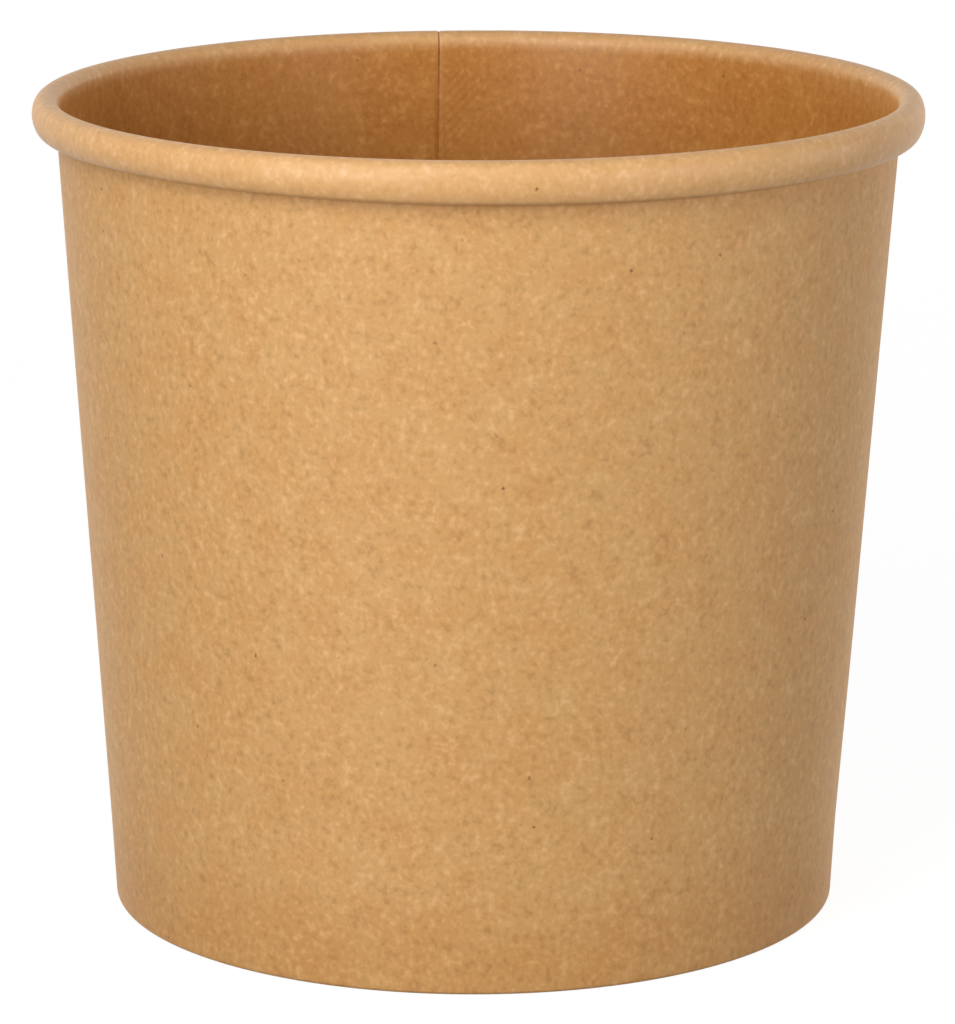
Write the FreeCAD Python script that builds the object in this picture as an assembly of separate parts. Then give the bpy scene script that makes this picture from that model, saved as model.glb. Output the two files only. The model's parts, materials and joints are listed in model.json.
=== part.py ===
# Paper soup cup.
#
# The wall is one board blank, wrapped into a cone and glued along an upright lap. Its
# upper edge is rolled outwards into the rim bead, and its lower edge is folded inwards
# and up as a hem. The base is a disc of board with a turned-down skirt, which the foot
# of the wall and its hem hold between them.
#
# Millimetres and degrees, +Z up. The origin is on the cup's axis, in the plane that
# the foot rests on. Each board is drawn as a section in the (radius, height) plane and
# turned about the axis. Its bends are short straight facets, so every face is a cone,
# a cylinder or a plane, except on the two narrow ramps beside the lap.
import FreeCAD, Part

import math
import os

# The cup as a whole
RIM_DIAMETER = 90.0  # outside of the rim bead
CUP_HEIGHT = 83.5  # resting plane to the top of the rim bead
WALL_TAPER = 3.9  # lean of the wall, out of the vertical
FOOT_TAPER = 3.1  # lean of the pressed band below the floor
FLOOR_HEIGHT = 8.25  # resting plane to the floor inside the cup

# Board
WALL_BOARD = 0.4
BASE_BOARD = 0.35

# Rim bead, from its hollow core outwards
BEAD_CORE_RADIUS = 0.64
BEAD_FLANK_RADIUS = 3.0  # of its gently curved outer side
BEAD_FLANK_TURN = 50.0  # how much of the roll that side takes up
BEAD_GAP = 0.08  # between the wall and the end of the roll
BEAD_TOP_FACETS = 5
BEAD_FLANK_FACETS = 2
BEAD_BOTTOM_FACETS = 4

# Foot
RESTING_WIDTH = 0.3  # flat ring that the cup stands on, at the middle of the board
FOLD_FACETS = 1  # on each side of that ring
SEAT_GAP = 0.03  # glue line on each side of the base's skirt
HEM_SHORTFALL = 1.6  # from the hem's raw edge up to the floor board
SKIRT_SHORTFALL = 0.2  # from the skirt's raw edge down to the folded board

# Base disc
BASE_BEND_RADIUS = 0.6  # between floor and skirt, at the middle of the board
BASE_BEND_FACETS = 1

# Lap
LAP_WIDTH = 6.0  # overlap of the two ends of the blank, measured at the rim
LAP_AZIMUTH = 95.8  # of the inner raw edge, from +X towards +Y
LAP_RAMP = 1.0  # length in which the outer layer climbs over that edge
LAP_BOARD = 0.34  # each of its two layers, which the hot press thins
LAP_CORE_RADIUS = 0.2  # hollow core of the bead where it holds both layers

# By the number of layers: 1 away from the lap, 2 in it
THICKNESS = {1: WALL_BOARD, 2: 2 * LAP_BOARD}
CORE_RADIUS = {1: BEAD_CORE_RADIUS, 2: LAP_CORE_RADIUS}
HALF_BOARD = WALL_BOARD / 2

AXIS_POINT = FreeCAD.Vector(0, 0, 0)
AXIS = FreeCAD.Vector(0, 0, 1)
LEAN = math.radians(WALL_TAPER)
FOOT_LEAN = math.radians(FOOT_TAPER)
HALF_FLANK = math.radians(BEAD_FLANK_TURN / 2)
OUTWARDS = math.pi / 2
DOWN = math.pi
FULL_TURN = 2 * math.pi


class BoardLine:
    """Middle line of a board, walked from one raw edge to the other.

    A heading is an angle from straight up, and it grows as the line turns outwards.
    Each corner is kept as (radius, height, heading, stretch): an offset to the right of
    the line goes square to that heading, and is stretched where two runs are mitred.
    """

    def __init__(self, radius, height, heading):
        self.radius = radius
        self.height = height
        self.heading = heading
        self.corners = [(radius, height, heading, 1.0)]

    def run(self, length):
        """Go straight on."""
        self.radius += length * math.sin(self.heading)
        self.height += length * math.cos(self.heading)
        self.corners.append((self.radius, self.height, self.heading, 1.0))

    def turn_to(self, heading, bend_radius, facets):
        """Bend to a new heading, in straight facets between points of a round bend."""
        side = math.copysign(bend_radius, heading - self.heading)
        centre_radius = self.radius + side * math.cos(self.heading)
        centre_height = self.height - side * math.sin(self.heading)
        step = (heading - self.heading) / facets
        for _ in range(facets):
            self.heading += step
            self.radius = centre_radius - side * math.cos(self.heading)
            self.height = centre_height + side * math.sin(self.heading)
            self.corners.append((self.radius, self.height, self.heading, 1.0))

    def mitre_to(self, heading):
        """Change to a new heading at the corner reached."""
        half_change = (heading - self.heading) / 2
        middle = self.heading + half_change
        self.corners[-1] = (self.radius, self.height, middle, 1 / math.cos(half_change))
        self.heading = heading

    def section(self, left, right):
        """Closed outline of the board between two offsets to the right of the line."""
        points = [self.offset_point(corner, left) for corner in self.corners]
        points += [self.offset_point(corner, right) for corner in reversed(self.corners)]
        return Part.makePolygon(points + points[:1])

    @staticmethod
    def offset_point(corner, offset):
        radius, height, heading, stretch = corner
        step = offset * stretch
        return FreeCAD.Vector(radius + step * math.cos(heading), 0, height - step * math.sin(heading))


def bead_radii(layers):
    """Bend radii at the top and bottom of the rim bead, on the wall's line."""
    bottom = CORE_RADIUS[layers] + THICKNESS[layers] - HALF_BOARD
    wall_to_end = BEAD_GAP + THICKNESS[layers]
    top = bottom + wall_to_end / (1 + math.cos(HALF_FLANK))
    return top, bottom


def wall_top():
    """Where the wall's line runs into the rim bead, so that the bead reaches the rim's
    diameter and the cup's height."""
    bead_top = bead_radii(1)[0]
    flank_start = LEAN - HALF_FLANK
    reach = bead_top * (math.cos(LEAN) + math.cos(flank_start))
    reach += BEAD_FLANK_RADIUS * (1 - math.cos(flank_start))
    rise = bead_top * (1 - math.sin(LEAN))
    return RIM_DIAMETER / 2 - HALF_BOARD - reach, CUP_HEIGHT - HALF_BOARD - rise


def foot_radius(height):
    """Radius of the foot band's middle line at a height."""
    top_radius, top_height = wall_top()
    band_top = top_radius - (top_height - FLOOR_HEIGHT) * math.tan(LEAN)
    return band_top - (FLOOR_HEIGHT - height) * math.tan(FOOT_LEAN)


def wall_line(layers):
    """The wall blank's line, from the hem's raw edge to the end of the rolled rim.

    It lies half a single board behind the face that lines the cup, so that face runs
    through the lap without a step. In the lap the fold's line lies higher by what the
    second layer takes up, and the bead keeps its outside and loses part of its core.
    """
    pocket = WALL_BOARD + BASE_BOARD + 2 * SEAT_GAP
    fold_radius = (pocket - RESTING_WIDTH * math.cos(FOOT_LEAN)) / 2
    fold_height = THICKNESS[layers] - HALF_BOARD
    hem_height = FLOOR_HEIGHT - BASE_BOARD - HEM_SHORTFALL
    hem_foot = fold_height + fold_radius * (1 + math.sin(FOOT_LEAN))
    band_foot = fold_height + fold_radius * (1 - math.sin(FOOT_LEAN))
    top_height = wall_top()[1]
    bead_top, bead_bottom = bead_radii(layers)

    hem_radius = foot_radius(hem_height) - pocket / math.cos(FOOT_LEAN)
    line = BoardLine(hem_radius, hem_height, DOWN + FOOT_LEAN)
    line.run((hem_height - hem_foot) / math.cos(FOOT_LEAN))
    line.turn_to(OUTWARDS, fold_radius, FOLD_FACETS)
    line.run(RESTING_WIDTH)
    line.turn_to(FOOT_LEAN, fold_radius, FOLD_FACETS)
    line.run((FLOOR_HEIGHT - band_foot) / math.cos(FOOT_LEAN))
    line.mitre_to(LEAN)
    line.run((top_height - FLOOR_HEIGHT) / math.cos(LEAN))
    line.turn_to(LEAN + DOWN - HALF_FLANK, bead_top, BEAD_TOP_FACETS)
    line.turn_to(LEAN + DOWN + HALF_FLANK, BEAD_FLANK_RADIUS, BEAD_FLANK_FACETS)
    line.turn_to(LEAN + FULL_TURN, bead_bottom, BEAD_BOTTOM_FACETS)
    return line


def turned(shape, azimuth):
    """A copy of a shape, turned about the cup's axis."""
    copy = shape.copy()
    copy.rotate(AXIS_POINT, AXIS, azimuth)
    return copy


def swept(section, azimuth, angle):
    """The solid that a section sweeps about the cup's axis, from an azimuth on."""
    return turned(Part.Face(section), azimuth).revolve(AXIS_POINT, AXIS, angle)


def ramp(single_azimuth, lap_azimuth, inner_face):
    """The stretch of board between the single wall and one layer of the lap. The inner
    face is the offset of that layer's face towards the inside of the cup."""
    single = wall_line(1).section(-HALF_BOARD, HALF_BOARD)
    layer = wall_line(2).section(inner_face, inner_face + LAP_BOARD)
    return Part.makeLoft([turned(single, single_azimuth), turned(layer, lap_azimuth)], True, True)


def make_side_wall():
    degrees_per_mm = math.degrees(2 / RIM_DIAMETER)
    lap_angle = LAP_WIDTH * degrees_per_mm
    ramp_angle = LAP_RAMP * degrees_per_mm
    outer_edge = LAP_AZIMUTH - lap_angle
    single_angle = 360 - lap_angle - 2 * ramp_angle

    lap_section = wall_line(2).section(-HALF_BOARD, THICKNESS[2] - HALF_BOARD)
    lap = swept(lap_section, outer_edge, lap_angle)
    climb = ramp(LAP_AZIMUTH + ramp_angle, LAP_AZIMUTH, LAP_BOARD - HALF_BOARD)
    settle = ramp(outer_edge - ramp_angle, outer_edge, -HALF_BOARD)
    single_section = wall_line(1).section(-HALF_BOARD, HALF_BOARD)
    single = swept(single_section, LAP_AZIMUTH + ramp_angle, single_angle)
    return single.multiFuse([climb, lap, settle])


def make_base_disc():
    skirt_inset = HALF_BOARD + SEAT_GAP + BASE_BOARD / 2
    floor_middle = FLOOR_HEIGHT - BASE_BOARD / 2
    skirt_end = THICKNESS[2] + SKIRT_SHORTFALL
    corner_radius = foot_radius(floor_middle) - skirt_inset / math.cos(FOOT_LEAN)
    bend_length = BASE_BEND_RADIUS * math.tan((OUTWARDS + FOOT_LEAN) / 2)

    line = BoardLine(0.0, floor_middle, OUTWARDS)
    line.run(corner_radius - bend_length)
    line.turn_to(DOWN + FOOT_LEAN, BASE_BEND_RADIUS, BASE_BEND_FACETS)
    line.run((floor_middle - skirt_end) / math.cos(FOOT_LEAN) - bend_length)
    return swept(line.section(-BASE_BOARD / 2, BASE_BOARD / 2), 0, 360)


MAKERS = {
    "side_wall": make_side_wall,
    "base_disc": make_base_disc,
}

os.makedirs("parts", exist_ok=True)
for node, make in MAKERS.items():
    make().exportStep(f"parts/{node}.step")
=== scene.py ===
"""Looks of the kraft paper soup cup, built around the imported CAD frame.

Two pieces of board replace their plain CAD solids. The wall blank is wrapped round the
cup, lapped on itself at the back, rolled outwards into the rim bead and folded inwards
as the foot's hem. The base disc is a floor with a turned-down skirt inside that hem.
Both are one closed mesh each, with the coated face, the bare face and the cut edges as
materials of their own. Lengths are in metres and angles in radians, in the CAD's frame,
but the lights are placed in degrees.
"""

from __future__ import annotations

import json
import logging
import math
from dataclasses import dataclass
from enum import Enum
from typing import Any, Callable, Dict, List, Optional, Sequence, Tuple, Union

import bpy
import numpy as np
from mathutils import Matrix, Vector, noise

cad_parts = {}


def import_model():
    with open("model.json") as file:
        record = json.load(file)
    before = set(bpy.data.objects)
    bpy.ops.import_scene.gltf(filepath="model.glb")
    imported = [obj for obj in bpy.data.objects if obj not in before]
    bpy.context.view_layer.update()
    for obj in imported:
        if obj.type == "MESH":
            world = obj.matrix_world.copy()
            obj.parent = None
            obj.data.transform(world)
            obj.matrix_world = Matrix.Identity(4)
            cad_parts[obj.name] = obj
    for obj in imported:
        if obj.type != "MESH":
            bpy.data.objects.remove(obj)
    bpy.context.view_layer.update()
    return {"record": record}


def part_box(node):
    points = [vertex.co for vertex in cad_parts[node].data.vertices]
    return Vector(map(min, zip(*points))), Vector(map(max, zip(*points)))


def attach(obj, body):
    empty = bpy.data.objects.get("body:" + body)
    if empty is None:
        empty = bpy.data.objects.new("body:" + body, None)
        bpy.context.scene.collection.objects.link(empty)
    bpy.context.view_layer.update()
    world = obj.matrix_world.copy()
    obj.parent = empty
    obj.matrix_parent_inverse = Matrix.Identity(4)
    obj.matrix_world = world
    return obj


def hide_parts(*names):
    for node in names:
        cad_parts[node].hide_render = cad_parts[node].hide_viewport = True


LOG = logging.getLogger("soup_cup")

MM = 0.001
OUTWARDS = math.pi / 2
DOWN = math.pi
FULL_TURN = 2 * math.pi
MOVER = Callable[[np.ndarray], np.ndarray]
VALUES = Union[float, np.ndarray]
TINT = Tuple[float, float, float]
COLOUR = Tuple[float, float, float, float]
# The value at which a smooth step starts at 0, and the value at which it reaches 1.
SPAN = Tuple[float, float]


def linear(red: float, green: float, blue: float) -> COLOUR:
    """Turn a display colour into a scene colour.

    Args:
        red: red from 0 to 255.
        green: green from 0 to 255.
        blue: blue from 0 to 255.

    Returns:
        The linear colour, with an alpha of 1.
    """

    def channel(value: float) -> float:
        """Undo the display curve of one channel."""
        share = value / 255
        return share / 12.92 if share <= 0.04045 else ((share + 0.055) / 1.055) ** 2.4

    return channel(red), channel(green), channel(blue), 1.0


def ease(share: VALUES) -> VALUES:
    """Smooth a share from 0 to 1 so that it starts and ends level."""
    held = np.clip(share, 0.0, 1.0)
    return held * held * (3 - 2 * held)


def eased(value: VALUES, start: float, end: float) -> VALUES:
    """Smooth share of the way that a value has gone from a start to an end."""
    return ease((value - start) / (end - start))


# Shader nodes


class Signal:
    """A shader socket whose arithmetic adds Math nodes to its tree."""

    def __init__(self, bench: Bench, socket: bpy.types.NodeSocket) -> None:
        """Keep the socket and the bench that adds nodes beside it."""
        self.bench = bench
        self.socket = socket

    def maths(self, operation: str, *operands: Union[Signal, float]) -> Signal:
        """Add a Math node.

        Args:
            operation: the node's operation.
            operands: its inputs, in order.

        Returns:
            The node's result.
        """
        inputs = dict(enumerate(operands))
        return self.bench.node("ShaderNodeMath", {"operation": operation}, inputs).out()

    def __add__(self, other: Union[Signal, float]) -> Signal:
        """Sum of this and another value."""
        return self.maths("ADD", self, other)

    __radd__ = __add__

    def __sub__(self, other: Union[Signal, float]) -> Signal:
        """This less another value."""
        return self.maths("SUBTRACT", self, other)

    def __rsub__(self, other: float) -> Signal:
        """A number less this."""
        return self.maths("SUBTRACT", other, self)

    def __mul__(self, other: Union[Signal, float]) -> Signal:
        """Product of this and another value."""
        return self.maths("MULTIPLY", self, other)

    __rmul__ = __mul__

    def __truediv__(self, other: Union[Signal, float]) -> Signal:
        """This divided by another value."""
        return self.maths("DIVIDE", self, other)

    def __rtruediv__(self, other: float) -> Signal:
        """A number divided by this."""
        return self.maths("DIVIDE", other, self)

    def sine(self) -> Signal:
        """Sine of this angle."""
        return self.maths("SINE", self)

    def larger(self, other: Union[Signal, float]) -> Signal:
        """The larger of this and another value."""
        return self.maths("MAXIMUM", self, other)

    def rise(self, low: float, high: float) -> Signal:
        """Smooth step.

        Args:
            low: the value at which the step starts at 0. It may lie above high.
            high: the value at which the step reaches 1.

        Returns:
            The step, from 0 to 1.
        """
        settings = {"interpolation_type": "SMOOTHSTEP", "clamp": True}
        inputs = {"Value": self, "From Min": low, "From Max": high}
        if low > high:
            inputs.update({"From Min": high, "From Max": low, "To Min": 1.0, "To Max": 0.0})
        return self.bench.node("ShaderNodeMapRange", settings, inputs).out("Result")


class Built:
    """A node that has been added, with its outputs as signals."""

    def __init__(self, bench: Bench, node: bpy.types.Node) -> None:
        """Keep the node and its bench."""
        self.bench = bench
        self.node = node

    def out(self, name: Union[str, int] = 0) -> Signal:
        """The output with a name or a number."""
        return Signal(self.bench, self.node.outputs[name])


class Bench:
    """Adds nodes to one shader tree."""

    def __init__(self, tree: bpy.types.NodeTree) -> None:
        """Start on an emptied tree."""
        self.tree = tree
        tree.nodes.clear()

    def node(
        self,
        kind: str,
        settings: Optional[Dict[str, Any]] = None,
        inputs: Optional[Dict[Union[str, int], Any]] = None,
    ) -> Built:
        """Add one node.

        Args:
            kind: the node's type.
            settings: properties that are set before its sockets.
            inputs: numbers, colours or signals by the name or number of a socket.

        Returns:
            The added node.
        """
        added = self.tree.nodes.new(kind)
        for name, setting in (settings or {}).items():
            setattr(added, name, setting)
        for name, value in (inputs or {}).items():
            if isinstance(value, Signal):
                self.tree.links.new(value.socket, added.inputs[name])
            else:
                added.inputs[name].default_value = value
        return Built(self, added)

    def mix(self, factor: Signal, first: Any, second: Any) -> Signal:
        """Blend two colours.

        Args:
            factor: share of the second colour.
            first: a colour or a colour signal.
            second: a colour or a colour signal.

        Returns:
            The blended colour.
        """
        # The Mix node's sockets for colours share their names with its other sockets.
        inputs = {"Factor": factor, 6: first, 7: second}
        return self.node("ShaderNodeMix", {"data_type": "RGBA"}, inputs).out(2)

    def grain(self, place: Signal, size: float, detail: float, roughness: float = 0.5) -> Signal:
        """Soft noise.

        Args:
            place: where it is read.
            size: about how far apart its patches lie.
            detail: how many finer layers it holds.
            roughness: how strong those layers are.

        Returns:
            The noise, around one half.
        """
        inputs = {"Vector": place, "Scale": 1 / size, "Detail": detail, "Roughness": roughness}
        return self.node("ShaderNodeTexNoise", {}, inputs).out(0)

    def seen(self) -> Signal:
        """Tell the rays that show things from the rays that light them.

        Returns:
            One for rays from the camera, a reflection or a transmission, else zero.
        """
        rays = self.node("ShaderNodeLightPath")
        seen = rays.out("Is Camera Ray").larger(rays.out("Is Glossy Ray"))
        return seen.larger(rays.out("Is Transmission Ray"))

    def moved(self, place: Signal, shift: Tuple[float, float, float]) -> Signal:
        """The same place shifted, so that two noises don't repeat each other."""
        inputs = {0: place, 1: shift}
        return self.node("ShaderNodeVectorMath", {"operation": "ADD"}, inputs).out()

    def scaled(self, vector: Signal, shares: Tuple[float, float, float]) -> Signal:
        """A colour or a place with each of its three values multiplied."""
        inputs = {0: vector, 1: shares}
        return self.node("ShaderNodeVectorMath", {"operation": "MULTIPLY"}, inputs).out()

    def parts(self, place: Signal) -> Tuple[Signal, Signal, Signal]:
        """The x, y and z of a place."""
        split = self.node("ShaderNodeSeparateXYZ", {}, {"Vector": place})
        return split.out("X"), split.out("Y"), split.out("Z")


# Finishes


class Face(Enum):
    """Which face of a board a polygon is on, as its material index."""

    COATED = 0
    BARE = 1
    EDGE = 2


@dataclass(frozen=True)
class Fibres:
    """One family of short strokes in the board, all leaning one way.

    Its slant is how far they lean out of the vertical, and its shift moves the noise, so
    that two families differ.
    """

    slant: float
    shift: float
    shown: SPAN
    strength: float
    size: float = 0.6 * MM
    stretch: float = 0.7

    def signal(self, bench: Bench, place: Signal) -> Signal:
        """Noise drawn out into strokes.

        Args:
            bench: the tree's bench.
            place: where it is read.

        Returns:
            Where the strokes lie, from 0 to 1.
        """
        height = bench.parts(place)[2]
        inputs = {"X": height * self.slant, "Y": height * self.slant, "Z": self.shift}
        leaning = bench.node("ShaderNodeCombineXYZ", {}, inputs).out()
        drawn_out = bench.node(
            "ShaderNodeVectorMath",
            {"operation": "MULTIPLY_ADD"},
            {0: place, 1: (1.0, 1.0, self.stretch), 2: leaning},
        ).out()
        return bench.grain(drawn_out, self.size, 1.0).rise(*self.shown)


@dataclass(frozen=True)
class Specks:
    """Sparse dark bits of bark, one at most in each cell of a random net.

    A bit's edge is a distance from the middle of its cell, in shares of the spacing. The
    cells with high random values show one.
    """

    spacing: float = 3.0 * MM
    raggedness: float = 0.16
    ragged_size: float = 0.35 * MM
    edge: SPAN = (0.075, 0.02)
    shown: SPAN = (0.35, 1.1)

    def signal(self, bench: Bench, place: Signal) -> Signal:
        """Pick some cells of the net, and mark their middles.

        Args:
            bench: the tree's bench.
            place: where it is read.

        Returns:
            Where the specks lie, from 0 to 1.
        """
        wander = bench.grain(place, self.ragged_size, 1.0) - 0.5
        inputs = {"Vector": place, "Scale": 1 / self.spacing, "Randomness": 1.0}
        cells = bench.node("ShaderNodeTexVoronoi", {"feature": "F1"}, inputs)
        spread = cells.out("Distance") + self.raggedness * wander
        pick = bench.node("ShaderNodeSeparateColor", {}, {"Color": cells.out("Color")}).out(0)
        return spread.rise(*self.edge) * pick.rise(*self.shown)


@dataclass(frozen=True)
class PressMarks:
    """Slanting ribs that the clamp of the lap left, on the inside of the wall's back.

    Their band lies behind the cup's axis, between two lines from it, left and right, that
    are given as distance across for each unit of depth. It ends under a height, top.
    """

    pitch: float = 0.75 * MM
    bend: float = 1.4
    bend_size: float = 2.0 * MM
    patch_size: float = 2.5 * MM
    patches: SPAN = (0.3, 0.6)
    left: SPAN = (-0.101, -0.09)
    right: SPAN = (0.028, 0.01)
    depth: SPAN = (20.0 * MM, 30.0 * MM)
    least_depth: float = 10.0 * MM
    top: SPAN = (80.5 * MM, 79.0 * MM)
    relief: float = 0.3
    darkness: float = 0.36

    def signal(self, bench: Bench, place: Signal) -> Signal:
        """Draw slanting waves, patchy and within their band.

        Args:
            bench: the tree's bench.
            place: where it is read.

        Returns:
            Where the ribs lie, from 0 to 1.
        """
        across, back, height = bench.parts(place)
        turn = FULL_TURN / (self.pitch * math.sqrt(2))
        bent = self.bend * bench.grain(place, self.bend_size, 1.0)
        wave = ((height - across) * turn + bent).sine().rise(0.0, 1.0)
        slope = across / back.larger(self.least_depth)
        band = slope.rise(*self.left) * slope.rise(*self.right) * back.rise(*self.depth)
        patches = bench.grain(place, self.patch_size, 1.0).rise(*self.patches)
        return wave * band * patches * height.rise(*self.top)


@dataclass(frozen=True)
class RimHighlight:
    """Painted highlight on the rim's outside and top: the face made lighter and whiter, its mottle
    evened out.
    """

    tint: TINT
    evenness: float = 0.35
    radius: SPAN = (42.5 * MM, 43.3 * MM)
    height: SPAN = (81.3 * MM, 82.9 * MM)

    def signal(self, bench: Bench, place: Signal) -> Signal:
        """Mark what lies far out or high up.

        Args:
            bench: the tree's bench.
            place: where it is read.

        Returns:
            Where the painted highlight lies, from 0 to 1.
        """
        flat = bench.scaled(place, (1.0, 1.0, 0.0))
        radius = bench.node("ShaderNodeVectorMath", {"operation": "LENGTH"}, {0: flat})
        high = bench.parts(place)[2].rise(*self.height)
        return radius.out("Value").rise(*self.radius).larger(high)


@dataclass(frozen=True)
class KraftFinish:
    """Unbleached board: its tones, fibres, specks, gloss and relief, with a painted highlight on
    the rim and painted shade at the foot where they are given.
    """

    name: str
    tone: COLOUR
    warm_tone: COLOUR
    dark_tone: COLOUR
    light_tone: COLOUR
    speck_tone: COLOUR
    roughness: float
    roughness_spread: float
    relief: float
    refraction: float = 1.5
    sheen: float = 0.0
    sheen_roughness: float = 0.4
    press_marks: Optional[PressMarks] = None
    # The rim's painted highlight: its coated face made lighter and whiter where it is rolled.
    roll: Optional[RimHighlight] = None
    # Painted shade: the board darkened towards its foot, over the heights in foot.
    foot_shade_tint: Optional[TINT] = None
    foot: SPAN = (13.0 * MM, 2.5 * MM)
    blotch_size: float = 4.0 * MM
    blotch_shift: Tuple[float, float, float] = (0.0, 0.2, 0.6)
    blotches: SPAN = (0.3, 0.7)
    cloud_size: float = 1.6 * MM
    cloud_share: float = 0.35
    fleck_size: float = 0.7 * MM
    fleck_crispness: float = 0.55
    fleck_relief: float = 0.8
    light_flecks: SPAN = (0.5, 0.75)
    light_fleck_strength: float = 0.75
    dark_flecks: SPAN = (0.5, 0.25)
    dark_fleck_strength: float = 0.66
    upright_stretch: float = 0.95
    light_fibres: Fibres = Fibres(slant=0.3, shift=0.31, shown=(0.52, 0.74), strength=0.3)
    dark_fibres: Fibres = Fibres(slant=-0.25, shift=0.47, shown=(0.46, 0.26), strength=0.22)
    specks: Specks = Specks()

    def make(self) -> bpy.types.Material:
        """Build the material.

        Returns:
            The material with its nodes.
        """
        material = bpy.data.materials.new(self.name)
        material.use_nodes = True
        bench = Bench(material.node_tree)
        place = bench.node("ShaderNodeTexCoord").out("Object")
        flecks = self.flecks(bench, bench.scaled(place, (1.0, 1.0, self.upright_stretch)))
        tone = self.colour(bench, place, flecks)
        height = flecks * self.fleck_relief
        if self.press_marks:
            marks = self.press_marks.signal(bench, place)
            height = height - marks * self.press_marks.relief
            tone = bench.mix(marks * self.press_marks.darkness, tone, self.dark_tone)
        bump = bench.node(
            "ShaderNodeBump", {}, {"Strength": 1.0, "Distance": self.relief, "Height": height}
        )
        shader = bench.node(
            "ShaderNodeBsdfPrincipled",
            {},
            {
                "Base Color": tone,
                "Roughness": self.roughness + self.roughness_spread * (flecks - 0.5),
                "IOR": self.refraction,
                "Sheen Weight": self.sheen,
                "Sheen Roughness": self.sheen_roughness,
                "Normal": bump.out(),
            },
        )
        bench.node("ShaderNodeOutputMaterial", {}, {"Surface": shader.out()})
        return material

    def flecks(self, bench: Bench, place: Signal) -> Signal:
        """Fine mottle of the pulp, on a coarser one.

        Args:
            bench: the tree's bench.
            place: where it is read.

        Returns:
            The mottle, around one half.
        """
        clouds = bench.grain(place, self.cloud_size, 1.0)
        fine = bench.grain(place, self.fleck_size, 1.0, self.fleck_crispness)
        return clouds * self.cloud_share + (1 - self.cloud_share) * fine

    def colour(self, bench: Bench, place: Signal, flecks: Signal) -> Signal:
        """Lay the tones over each other.

        Args:
            bench: the tree's bench.
            place: where the noises are read.
            flecks: the fine mottle.

        Returns:
            The board's colour.
        """
        blotches = bench.grain(bench.moved(place, self.blotch_shift), self.blotch_size, 2.0)
        tone = bench.mix(blotches.rise(*self.blotches), self.tone, self.warm_tone)
        light = flecks.rise(*self.light_flecks) * self.light_fleck_strength
        tone = bench.mix(light, tone, self.light_tone)
        dark = flecks.rise(*self.dark_flecks) * self.dark_fleck_strength
        tone = bench.mix(dark, tone, self.dark_tone)
        strokes = self.light_fibres.signal(bench, place) * self.light_fibres.strength
        tone = bench.mix(strokes, tone, self.light_tone)
        strokes = self.dark_fibres.signal(bench, place) * self.dark_fibres.strength
        tone = bench.mix(strokes, tone, self.dark_tone)
        # Painted highlight on the rim: the rolled face's mottle evened, then made lighter and
        # whiter.
        if self.roll:
            rolled = self.roll.signal(bench, place)
            tone = bench.mix(rolled * self.roll.evenness, tone, self.tone)
            tone = bench.mix(rolled, tone, bench.scaled(tone, self.roll.tint))
        # Painted shade: the board darkened towards the foot.
        if self.foot_shade_tint:
            low = bench.parts(place)[2].rise(*self.foot)
            tone = bench.mix(low, tone, bench.scaled(tone, self.foot_shade_tint))
        return bench.mix(self.specks.signal(bench, place), tone, self.speck_tone)


@dataclass(frozen=True)
class FloorFinish:
    """Plain white floor that keeps the cup's shadow."""

    name: str = "studio_white"
    colour: COLOUR = (0.12, 0.12, 0.12, 1.0)
    lift: float = 0.94

    def make(self) -> bpy.types.Material:
        """Build the material.

        Returns:
            A diffuse floor, with a lift towards white where it is seen.
        """
        material = bpy.data.materials.new(self.name)
        material.use_nodes = True
        bench = Bench(material.node_tree)
        diffuse = bench.node("ShaderNodeBsdfDiffuse", {}, {"Color": self.colour})
        glow = bench.node("ShaderNodeEmission", {}, {"Strength": bench.seen() * self.lift})
        both = bench.node("ShaderNodeAddShader", {}, {0: diffuse.out(), 1: glow.out()})
        bench.node("ShaderNodeOutputMaterial", {}, {"Surface": both.out()})
        return material


# Board


class BoardPath:
    """Middle line of a board in the (radius, height) plane, walked from a raw edge.

    A heading is an angle from straight up that grows as the line turns outwards.
    """

    def __init__(self, radius: float, height: float, heading: float) -> None:
        """Start at a raw edge.

        Args:
            radius: the edge's distance from the axis.
            height: the edge's height.
            heading: the line's heading there.
        """
        self.radius = radius
        self.height = height
        self.heading = heading
        self.stations: List[Tuple[float, float, float]] = [(radius, height, heading)]

    def straight(self, length: float, steps: int) -> None:
        """Go straight on, in equal steps.

        Args:
            length: how far.
            steps: how many steps it takes.
        """
        for _ in range(steps):
            self.radius += length / steps * math.sin(self.heading)
            self.height += length / steps * math.cos(self.heading)
            self.stations.append((self.radius, self.height, self.heading))

    def bend(self, heading: float, bend_radius: float, steps: int) -> None:
        """Turn to a heading on a round bend.

        Args:
            heading: the heading at its end.
            bend_radius: its radius, at the middle of the board.
            steps: how many steps it takes.
        """
        side = math.copysign(bend_radius, heading - self.heading)
        centre_radius = self.radius + side * math.cos(self.heading)
        centre_height = self.height - side * math.sin(self.heading)
        turn = (heading - self.heading) / steps
        for _ in range(steps):
            self.heading += turn
            self.radius = centre_radius - side * math.cos(self.heading)
            self.height = centre_height + side * math.sin(self.heading)
            self.stations.append((self.radius, self.height, self.heading))

    def side(self, offset: float) -> np.ndarray:
        """Points beside the line.

        Args:
            offset: how far to the right of the line.

        Returns:
            An array of (radius, height) rows, one for each station.
        """
        line = np.array(self.stations)
        across = np.column_stack((np.cos(line[:, 2]), -np.sin(line[:, 2])))
        return line[:, :2] + offset * across

    def outline(self, left: float, right: float) -> np.ndarray:
        """Closed outline between two offsets, up the left side and back down the right."""
        return np.vstack((self.side(left), self.side(right)[::-1]))


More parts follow.
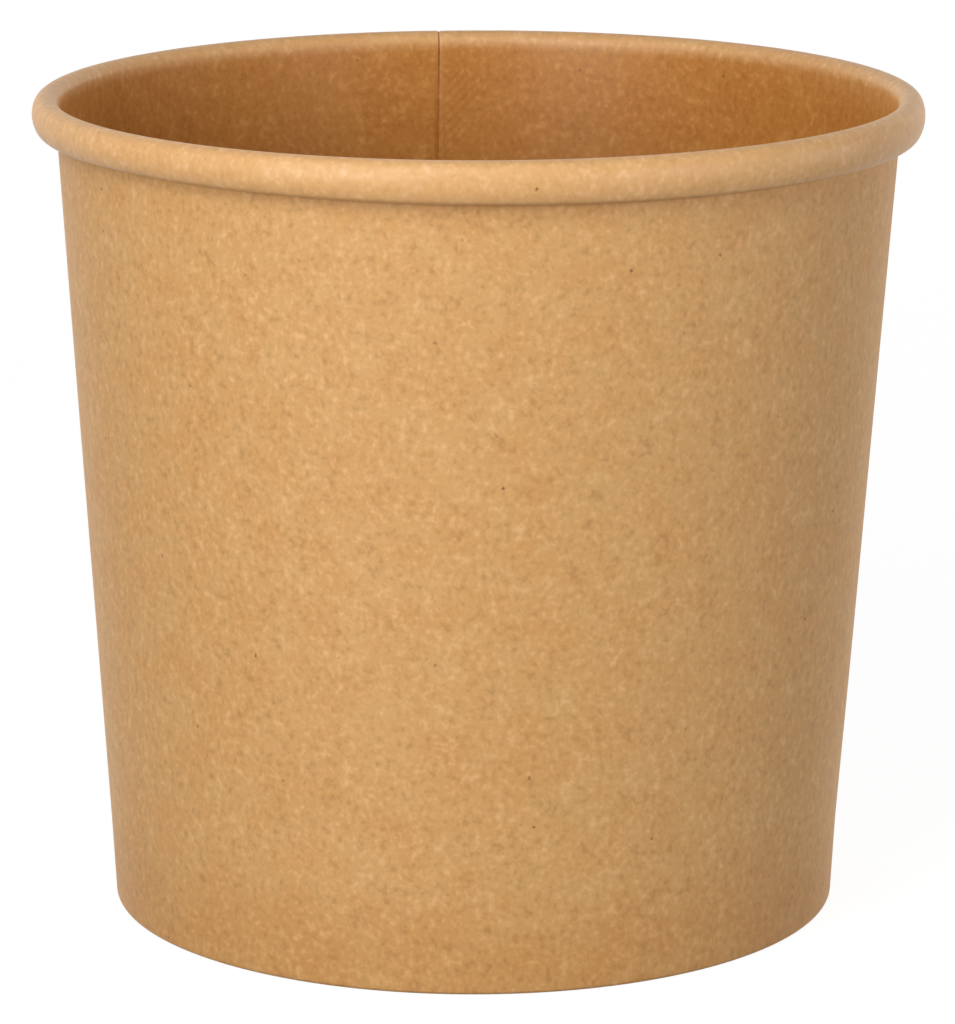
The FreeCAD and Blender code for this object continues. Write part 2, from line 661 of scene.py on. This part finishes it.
class BoardMesh:
    """Closed mesh of a board, from outlines placed round the cup."""

    sharp_from: float = math.radians(50)

    def __init__(self, name: str) -> None:
        """Start an empty mesh."""
        self.name = name
        self.rings: List[np.ndarray] = []

    def add(self, azimuth: float, outline: np.ndarray) -> None:
        """Place an outline.

        Args:
            azimuth: its angle from +X towards +Y.
            outline: its (radius, height) rows.
        """
        turn = np.array((math.cos(azimuth), math.sin(azimuth)))
        flat = outline[:, :1] * turn
        self.rings.append(np.column_stack((flat, outline[:, 1])))

    def build(self, place: MOVER, closed: bool) -> bpy.types.Object:
        """Join the outlines to a mesh.

        Args:
            place: moves the points, given as (x, y, z) rows, before they are joined.
            closed: whether the last outline joins the first. Where it doesn't, both
                get the board's cut edge.

        Returns:
            The object, in the scene, smooth but for its cut edges.
        """
        count = len(self.rings)
        size = len(self.rings[0])
        half = size // 2
        spans = count if closed else count - 1
        here = np.arange(spans)[:, None] * size
        ahead = (np.arange(spans)[:, None] + 1) % count * size
        step = np.arange(size)[None, :]
        after = (step + 1) % size
        quads = np.stack((here + step, ahead + step, ahead + after, here + after), axis=2)
        face = np.full(size, Face.COATED.value)
        face[half - 1] = face[size - 1] = Face.EDGE.value
        face[half : size - 1] = Face.BARE.value
        faces = quads.reshape(-1, 4)
        slots = np.tile(face, spans)
        if not closed:
            first = np.arange(half - 1)
            last_ring = (count - 1) * size
            start = np.column_stack((first, first + 1, size - 2 - first, size - 1 - first))
            faces = np.vstack((faces, start, (start + last_ring)[:, ::-1]))
            slots = np.append(slots, np.full(2 * len(first), Face.EDGE.value))
        mesh = bpy.data.meshes.new(self.name)
        points = place(np.vstack(self.rings))
        mesh.from_pydata(points.tolist(), [], faces.tolist())
        mesh.polygons.foreach_set("material_index", slots.astype(np.int32))
        mesh.polygons.foreach_set("use_smooth", np.ones(len(faces), dtype=bool))
        mesh.set_sharp_from_angle(angle=self.sharp_from)
        mesh.validate()
        piece = bpy.data.objects.new(self.name, mesh)
        bpy.context.scene.collection.objects.link(piece)
        return piece


def unevenness(azimuth: float, lobes: float, rise: float, pattern: float) -> float:
    """A smooth random value that closes round the cup.

    Args:
        azimuth: angle about the axis.
        lobes: about how many waves there are on each turn.
        rise: height above the foot, in waves.
        pattern: picks one pattern.

    Returns:
        A value from about -1 to 1.
    """
    ring = lobes / math.pi
    spot = Vector((ring * math.cos(azimuth), ring * math.sin(azimuth) + pattern, rise))
    return 2 * noise.noise(spot)


@dataclass
class Foot:
    """Sizes of the cup's foot, which the wall and the base disc share."""

    floor_height: float
    resting_radius: float
    wall_board: float = 0.40 * MM
    base_board: float = 0.35 * MM
    seat_gap: float = 0.03 * MM
    resting_width: float = 0.3 * MM
    lean: float = math.radians(3.1)

    @property
    def pocket(self) -> float:
        """Distance between the middle lines of the wall and its hem."""
        return self.wall_board + self.base_board + 2 * self.seat_gap

    @property
    def fold_radius(self) -> float:
        """Radius of each side of the fold, at the middle of the board."""
        return (self.pocket - self.resting_width * math.cos(self.lean)) / 2

    def radius(self, height: float) -> float:
        """Radius of the wall's middle line in the foot band.

        Args:
            height: the height above the resting plane.

        Returns:
            The line's distance from the axis at that height.
        """
        fold_height = self.wall_board / 2
        start = self.resting_radius + self.resting_width / 2
        start += self.fold_radius * math.cos(self.lean)
        start_height = fold_height + self.fold_radius * (1 - math.sin(self.lean))
        return start + (height - start_height) * math.tan(self.lean)


@dataclass
class WallBlank:
    """The wall: hem, fold, foot band, leaning wall and rolled rim, lapped at the back.

    Its line is the coated face, which lies inside the cup and outside the rim's roll.
    The spans are heights: foot_zone above the foot, the others from the rim's top.
    """

    foot: Foot
    rim_radius: float
    cup_height: float
    lean: float = math.radians(3.9)
    hem_shortfall: float = 1.6 * MM
    core_radius: float = 0.64 * MM
    flank_radius: float = 3.2 * MM
    half_flank: float = math.radians(25)
    bead_gap: float = 0.08 * MM
    lap_width: float = 6.0 * MM
    lap_azimuth: float = math.radians(95.8)
    lap_board: float = 0.34 * MM
    lap_core_radius: float = 0.2 * MM
    ramp: float = 1.0 * MM
    edge_run: float = 0.4 * MM
    edge_sink: float = 0.09 * MM
    edge_squeeze: float = 0.07 * MM
    groove_steepness: float = 2.0
    rim_steepness: float = 60.0
    rim_zone: SPAN = (-5.0 * MM, -3.5 * MM)
    foot_haste: float = 0.93
    foot_zone: SPAN = (0.8 * MM, 2.4 * MM)
    hem_steps: int = 4
    fold_steps: Tuple[int, int] = (6, 8)
    band_steps: int = 6
    wall_steps: int = 26
    roll_steps: Tuple[int, int, int] = (22, 12, 16)
    lap_steps: int = 16
    settle_steps: int = 10
    climb_steps: int = 14
    turn_steps: int = 300
    wall_unevenness: float = 0.05 * MM
    wall_lobes: float = 3.0
    wall_wave: float = 60.0 * MM
    wall_pattern: float = 3.7
    wall_freedom: float = 20.0 * MM
    bead_unevenness: float = 0.30 * MM
    bead_lobes: float = 2.0
    bead_pattern: float = 94.4
    bead: SPAN = (0.0, -4.0 * MM)
    neck: SPAN = (-7.0 * MM, -4.0 * MM)
    skew: float = 0.0073

    def path(self, thickness: float, core_radius: float) -> BoardPath:
        """Coated face of the board, from the hem's raw edge to the end of the roll.

        Args:
            thickness: of all the board that lies to the right of that face.
            core_radius: of the hollow in the rolled rim.

        Returns:
            The line.
        """
        foot, board = self.foot, self.foot.wall_board
        hem_bend = foot.fold_radius - board / 2
        hem_height = foot.floor_height - foot.base_board - self.hem_shortfall
        hem_foot = thickness + hem_bend * (1 + math.sin(foot.lean))
        band_foot = thickness + hem_bend * (1 - math.sin(foot.lean))
        bottom_bend = core_radius + thickness
        top_bend = bottom_bend + (thickness + self.bead_gap) / (1 + math.cos(self.half_flank))
        single_top_bend = self.core_radius + board
        single_top_bend += (board + self.bead_gap) / (1 + math.cos(self.half_flank))
        top_height = self.cup_height - single_top_bend * (1 - math.sin(self.lean))

        inset = (foot.pocket - board / 2) / math.cos(foot.lean)
        line = BoardPath(foot.radius(hem_height) - inset, hem_height, DOWN + foot.lean)
        line.straight((hem_height - hem_foot) / math.cos(foot.lean), self.hem_steps)
        line.bend(OUTWARDS, hem_bend, self.fold_steps[0])
        line.straight(foot.resting_width, 1)
        line.bend(foot.lean, hem_bend, self.fold_steps[1])
        line.straight((foot.floor_height - band_foot) / math.cos(foot.lean), self.band_steps)
        line.heading = self.lean
        line.straight((top_height - foot.floor_height) / math.cos(self.lean), self.wall_steps)
        line.bend(self.lean + DOWN - self.half_flank, top_bend, self.roll_steps[0])
        line.bend(self.lean + DOWN + self.half_flank, self.flank_radius, self.roll_steps[1])
        line.bend(self.lean + FULL_TURN, bottom_bend, self.roll_steps[2])
        return line

    def build(self) -> bpy.types.Object:
        """Wrap the blank round the cup, from its inner raw edge to its outer one.

        Returns:
            The wall's object.
        """
        board = self.foot.wall_board
        single = self.path(board, self.core_radius).outline(0.0, board)
        lapped = self.path(2 * self.lap_board, self.lap_core_radius)
        outer_edge = self.lap_azimuth - self.lap_width / self.rim_radius
        ramp = self.ramp / self.rim_radius
        climb_start = self.lap_azimuth + ramp - FULL_TURN
        mesh = BoardMesh("side_wall_board")
        self.add_inner_layer(mesh, lapped)
        self.add_settling(mesh, lapped, single, outer_edge, ramp)
        for azimuth in np.linspace(outer_edge - ramp, climb_start, self.turn_steps):
            mesh.add(azimuth, self.uneven(azimuth, single))
        self.add_climb(mesh, lapped, single, climb_start, ramp)
        self.add_outer_layer(mesh, lapped)
        return mesh.build(self.lean_over, closed=False)

    def lap_arcs(self) -> np.ndarray:
        """Arcs from an edge of the lap across it, bunched near that edge."""
        return self.lap_width * np.linspace(0, 1, self.lap_steps) ** 2

    def add_inner_layer(self, mesh: BoardMesh, lapped: BoardPath) -> None:
        """Add the lap's inner layer, whose raw edge is crushed.

        Args:
            mesh: the wall's mesh.
            lapped: the coated face's line in the lap.
        """
        for arc in self.lap_arcs():
            azimuth = self.lap_azimuth - arc / self.rim_radius
            crushed = 1 - ease(arc / self.edge_run)
            sunk, squeezed = self.edge_sink * crushed, self.edge_squeeze * crushed
            outline = lapped.outline(sunk, self.lap_board - squeezed)
            mesh.add(azimuth, self.uneven(azimuth, outline))

    def add_settling(
        self, mesh: BoardMesh, lapped: BoardPath, single: np.ndarray, start: float, ramp: float
    ) -> None:
        """Let the inner layer settle to the single wall, at once where it is folded.

        Args:
            mesh: the wall's mesh.
            lapped: the coated face's line in the lap.
            single: outline of the single wall.
            start: azimuth of the outer raw edge.
            ramp: the angle over which it settles.
        """
        inner = lapped.outline(0.0, self.lap_board)
        slowness = 1 - self.foot_haste * (1 - eased(single[:, 1:], *self.foot_zone))
        for share in np.linspace(0, 1, self.settle_steps + 1)[1:-1] ** 2:
            azimuth = start - share * ramp
            settled = ease(share) ** slowness
            mesh.add(azimuth, self.uneven(azimuth, inner + (single - inner) * settled))

    def add_climb(
        self, mesh: BoardMesh, lapped: BoardPath, single: np.ndarray, start: float, ramp: float
    ) -> None:
        """Let the single wall climb on to the inner raw edge, steeply at the rim.

        Args:
            mesh: the wall's mesh.
            lapped: the coated face's line in the lap.
            single: outline of the single wall.
            start: azimuth at which it starts to climb.
            ramp: the angle over which it climbs.
        """
        behind_edge = self.lap_board - self.edge_squeeze
        outer = lapped.outline(behind_edge, behind_edge + self.lap_board)
        near_rim = eased(single[:, 1:] - self.cup_height, *self.rim_zone)
        steepness = self.groove_steepness + self.rim_steepness * near_rim
        for share in 1 - np.linspace(1, 0, self.climb_steps + 1)[1:-1] ** 2:
            azimuth = start - share * ramp
            climbed = ease(share) ** steepness
            mesh.add(azimuth, self.uneven(azimuth, single + (outer - single) * climbed))

    def add_outer_layer(self, mesh: BoardMesh, lapped: BoardPath) -> None:
        """Add the lap's outer layer, which is pressed down beside the inner raw edge.

        Args:
            mesh: the wall's mesh.
            lapped: the coated face's line in the lap.
        """
        for arc in self.lap_arcs():
            azimuth = self.lap_azimuth - FULL_TURN - arc / self.rim_radius
            behind = self.lap_board - self.edge_squeeze * (1 - ease(arc / self.edge_run))
            outline = lapped.outline(behind, behind + self.lap_board)
            mesh.add(azimuth, self.uneven(azimuth, outline))

    def uneven(self, azimuth: float, outline: np.ndarray) -> np.ndarray:
        """Give an outline the small unevenness of wrapped and rolled board.

        Args:
            azimuth: where the outline is placed.
            outline: its (radius, height) rows.

        Returns:
            The outline, moved above the cup's floor only.
        """
        height = outline[:, 1]
        free = ease((height - self.foot.floor_height) / self.wall_freedom)
        waves = [
            unevenness(azimuth, self.wall_lobes, each / self.wall_wave, self.wall_pattern)
            for each in height
        ]
        below_top = height - self.cup_height
        low = eased(below_top, *self.bead) * eased(below_top, *self.neck)
        droop = unevenness(azimuth, self.bead_lobes, 0.0, self.bead_pattern)
        moved = outline.copy()
        moved[:, 0] += self.wall_unevenness * free * np.array(waves)
        moved[:, 1] += self.bead_unevenness * low * droop
        return moved

    def lean_over(self, places: np.ndarray) -> np.ndarray:
        """Lean the wall above the foot a little to one side, as wrapped cups do.

        Args:
            places: (x, y, z) rows.

        Returns:
            The rows, moved.
        """
        free = np.maximum(places[:, 2] - self.foot.floor_height, 0)
        places[:, 0] += self.skew * free
        return places


@dataclass
class BaseDisc:
    """The base: a floor whose turned-down skirt stands in the wall's hem.

    The pleats start and end at distances from the floor's edge, given as spans.
    """

    foot: Foot
    bend_radius: float = 0.6 * MM
    skirt_end: float = 1.0 * MM
    turn_steps: int = 288
    floor_steps: int = 22
    bend_steps: int = 8
    skirt_steps: int = 5
    centre_radius: float = 0.01 * MM
    sag: float = 0.25 * MM
    level_rim: float = 2.0 * MM
    pleats: int = 84
    pleat_depth: float = 0.02 * MM
    pleat_start: SPAN = (-5.0 * MM, -2.0 * MM)
    pleat_end: SPAN = (-0.5 * MM, -1.5 * MM)

    def path(self) -> BoardPath:
        """Middle line of the disc, from its centre to the skirt's raw edge.

        Returns:
            The line.
        """
        foot = self.foot
        inset = foot.wall_board / 2 + foot.seat_gap + foot.base_board / 2
        middle = foot.floor_height - foot.base_board / 2
        corner = foot.radius(middle) - inset / math.cos(foot.lean)
        bend_length = self.bend_radius * math.tan((OUTWARDS + foot.lean) / 2)
        skirt = (middle - self.skirt_end) / math.cos(foot.lean) - bend_length
        line = BoardPath(self.centre_radius, middle, OUTWARDS)
        line.straight(corner - bend_length - line.radius, self.floor_steps)
        line.bend(DOWN + foot.lean, self.bend_radius, self.bend_steps)
        line.straight(skirt, self.skirt_steps)
        return line

    def build(self) -> bpy.types.Object:
        """Turn the disc about the cup's axis.

        Returns:
            The disc's object.
        """
        half_board = self.foot.base_board / 2
        outline = self.path().outline(-half_board, half_board)
        mesh = BoardMesh("base_disc_board")
        for azimuth in np.linspace(FULL_TURN, 0, self.turn_steps, endpoint=False):
            mesh.add(azimuth, self.uneven(azimuth, outline))
        return mesh.build(lambda places: places, closed=True)

    def uneven(self, azimuth: float, outline: np.ndarray) -> np.ndarray:
        """Sink the floor a little at its middle, with fine pleats near its bend.

        Args:
            azimuth: where the outline is placed.
            outline: its (radius, height) rows.

        Returns:
            The outline, moved on the floor only.
        """
        radius = outline[:, 0]
        edge = outline[:, 0].max()
        on_floor = outline[:, 1] > self.foot.floor_height - 2 * self.foot.base_board
        sunk = self.sag * (1 - ease(radius / (edge - self.level_rim)))
        pleated = eased(radius - edge, *self.pleat_start) * eased(radius - edge, *self.pleat_end)
        pleat = self.pleat_depth * math.sin(self.pleats * azimuth)
        moved = outline.copy()
        moved[:, 1] -= on_floor * (sunk - pleated * pleat)
        return moved


# Studio


@dataclass(frozen=True)
class Softbox:
    """Square area light, aimed at the cup, with its angles in degrees.

    Its azimuth runs from the viewer's side towards the right, and power is in watts.
    """

    name: str
    azimuth: float
    elevation: float
    distance: float
    side: float
    power: float
    glossy: bool = True

    def build(self, target: Vector) -> None:
        """Put the light in the scene.

        Args:
            target: the point that it is aimed at.
        """
        lamp = bpy.data.lights.new(self.name, "AREA")
        lamp.energy = self.power
        lamp.size = self.side
        azimuth, elevation = math.radians(self.azimuth), math.radians(self.elevation)
        level = math.cos(elevation)
        aside, ahead = math.sin(azimuth) * level, -math.cos(azimuth) * level
        away = Vector((aside, ahead, math.sin(elevation)))
        holder = bpy.data.objects.new(self.name, lamp)
        holder.matrix_world = Matrix.Translation(target + away * self.distance) @ (
            away.to_track_quat("Z", "Y").to_matrix().to_4x4()
        )
        holder.visible_camera = False
        holder.visible_glossy = self.glossy
        bpy.context.scene.collection.objects.link(holder)


@dataclass
class Studio:
    """Floor, white surround, and the lights and the camera that are aimed at the cup."""

    cup_height: float
    aim_aside: float = 0.41 * MM
    aim_share: float = 0.476
    ambient: float = 0.1
    floor_radius: float = 4.0
    floor_drop: float = 0.02 * MM
    floor_steps: int = 64
    camera_distance: float = 0.5306
    camera_elevation: float = math.radians(13.265)
    lens: float = 181.3
    sight: Tuple[float, float] = (0.01, 20.0)
    lights: Tuple[Softbox, ...] = (
        Softbox("front_left_softbox", -30, 12, 0.5, 0.17, 0.93),
        Softbox("front_softbox", -22, 38, 0.42, 0.19, 0.55),
        Softbox("front_right_softbox", 47, 12, 0.5, 0.17, 0.56),
        Softbox("left_softbox", -60, 28, 1.0, 0.6, 1.2),
        Softbox("right_softbox", 92, 6, 0.5, 0.17, 0.27),
        Softbox("back_left_softbox", -150, 9, 1.0, 0.3, 2.9, glossy=False),
        Softbox("back_right_softbox", 150, 9, 1.0, 0.3, 2.9, glossy=False),
    )

    @property
    def target(self) -> Vector:
        """The point that the camera and the lights are aimed at."""
        return Vector((self.aim_aside, 0, self.aim_share * self.cup_height))

    def build(self) -> None:
        """Build the whole studio."""
        self.add_floor()
        self.add_surround()
        self.add_camera()
        for light in self.lights:
            light.build(self.target)

    def add_floor(self) -> None:
        """Lay the floor, just under the cup's foot."""
        turns = np.linspace(0, FULL_TURN, self.floor_steps, endpoint=False)
        radius = self.floor_radius
        ring = [(radius * math.cos(turn), radius * math.sin(turn), 0.0) for turn in turns]
        mesh = bpy.data.meshes.new("studio_floor")
        mesh.from_pydata(ring, [], [list(range(self.floor_steps))])
        floor = bpy.data.objects.new("studio_floor", mesh)
        floor.location.z = -self.floor_drop
        mesh.materials.append(FloorFinish().make())
        bpy.context.scene.collection.objects.link(floor)

    def add_surround(self) -> None:
        """Light the cup from a white surround, seen as pure white."""
        world = bpy.data.worlds.new("white_surround")
        world.use_nodes = True
        bpy.context.scene.world = world
        bench = Bench(world.node_tree)
        strength = self.ambient + (1 - self.ambient) * bench.seen()
        sky = bench.node("ShaderNodeBackground", {}, {"Color": (1, 1, 1, 1), "Strength": strength})
        bench.node("ShaderNodeOutputWorld", {}, {"Surface": sky.out()})

    def add_camera(self) -> None:
        """Aim the camera at the cup, from the front and a little above."""
        away = Vector((0, -math.cos(self.camera_elevation), math.sin(self.camera_elevation)))
        camera = bpy.data.cameras.new("camera")
        camera.lens = self.lens
        camera.clip_start, camera.clip_end = self.sight
        holder = bpy.data.objects.new("camera", camera)
        holder.matrix_world = (
            Matrix.Translation(self.target + away * self.camera_distance)
            @ away.to_track_quat("Z", "Y").to_matrix().to_4x4()
        )
        bpy.context.scene.collection.objects.link(holder)
        bpy.context.scene.camera = holder


COATED = KraftFinish(
    name="kraft_coated_face",
    tone=linear(201, 136, 62),
    warm_tone=linear(197, 130, 58),
    dark_tone=linear(175, 111, 43),
    light_tone=linear(221, 160, 87),
    speck_tone=linear(126, 75, 30),
    roughness=0.42,
    roughness_spread=0.1,
    relief=0.02 * MM,
    refraction=1.4,
    press_marks=PressMarks(),
    # Painted highlight on the rim's outside and top.
    roll=RimHighlight(tint=(1.40, 1.87, 3.85)),
)
BARE = KraftFinish(
    name="kraft_bare_face",
    tone=linear(221, 170, 107),
    warm_tone=linear(219, 163, 98),
    dark_tone=linear(190, 138, 79),
    light_tone=linear(241, 194, 134),
    speck_tone=linear(134, 90, 50),
    roughness=0.6,
    roughness_spread=0.15,
    relief=0.03 * MM,
    sheen=0.1,
    # Painted shade, darker towards the foot.
    foot_shade_tint=(0.91, 0.85, 0.76),
)
EDGE = KraftFinish(
    name="kraft_cut_edge",
    tone=linear(214, 172, 120),
    warm_tone=linear(216, 170, 122),
    dark_tone=linear(176, 132, 84),
    light_tone=linear(236, 204, 160),
    speck_tone=linear(150, 104, 62),
    roughness=0.85,
    roughness_spread=0.1,
    relief=0.04 * MM,
)


def mount_place(record: Dict[str, Any], name: str) -> Vector:
    """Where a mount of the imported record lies.

    Args:
        record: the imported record.
        name: the mount's name.

    Returns:
        Its place in the frame.
    """
    return next(Vector(m["pos_m"]) for m in record["mounts"] if m["name"] == name)


def dress(
    piece: bpy.types.Object, node: str, finishes: Sequence[bpy.types.Material]
) -> None:
    """Give a piece its finishes and put it in the place of its CAD node.

    Args:
        piece: the board's object.
        node: the CAD node that it stands for.
        finishes: the materials of its coated face, bare face and cut edges.
    """
    for finish in finishes:
        piece.data.materials.append(finish)
    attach(piece, "root")
    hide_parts(node)
    LOG.info("%s: %d faces, stands for %s", piece.name, len(piece.data.polygons), node)


def main() -> None:
    """Build the cup and its studio."""
    logging.basicConfig(level=logging.INFO, format="%(name)s: %(message)s")
    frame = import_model()
    record = frame["record"]
    floor_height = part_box("base_disc")[1].z
    rim_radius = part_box("side_wall")[1].x
    cup_height = mount_place(record, "lid_rim").z
    foot = Foot(floor_height, mount_place(record, "base_rest").x)

    finishes = [finish.make() for finish in (COATED, BARE, EDGE)]
    wall = WallBlank(foot, rim_radius, cup_height).build()
    dress(wall, "side_wall", finishes)
    base = BaseDisc(foot).build()
    dress(base, "base_disc", finishes)

    Studio(cup_height).build()
    bpy.context.scene.view_settings.view_transform = "Standard"


if __name__ == "__main__":
    main()
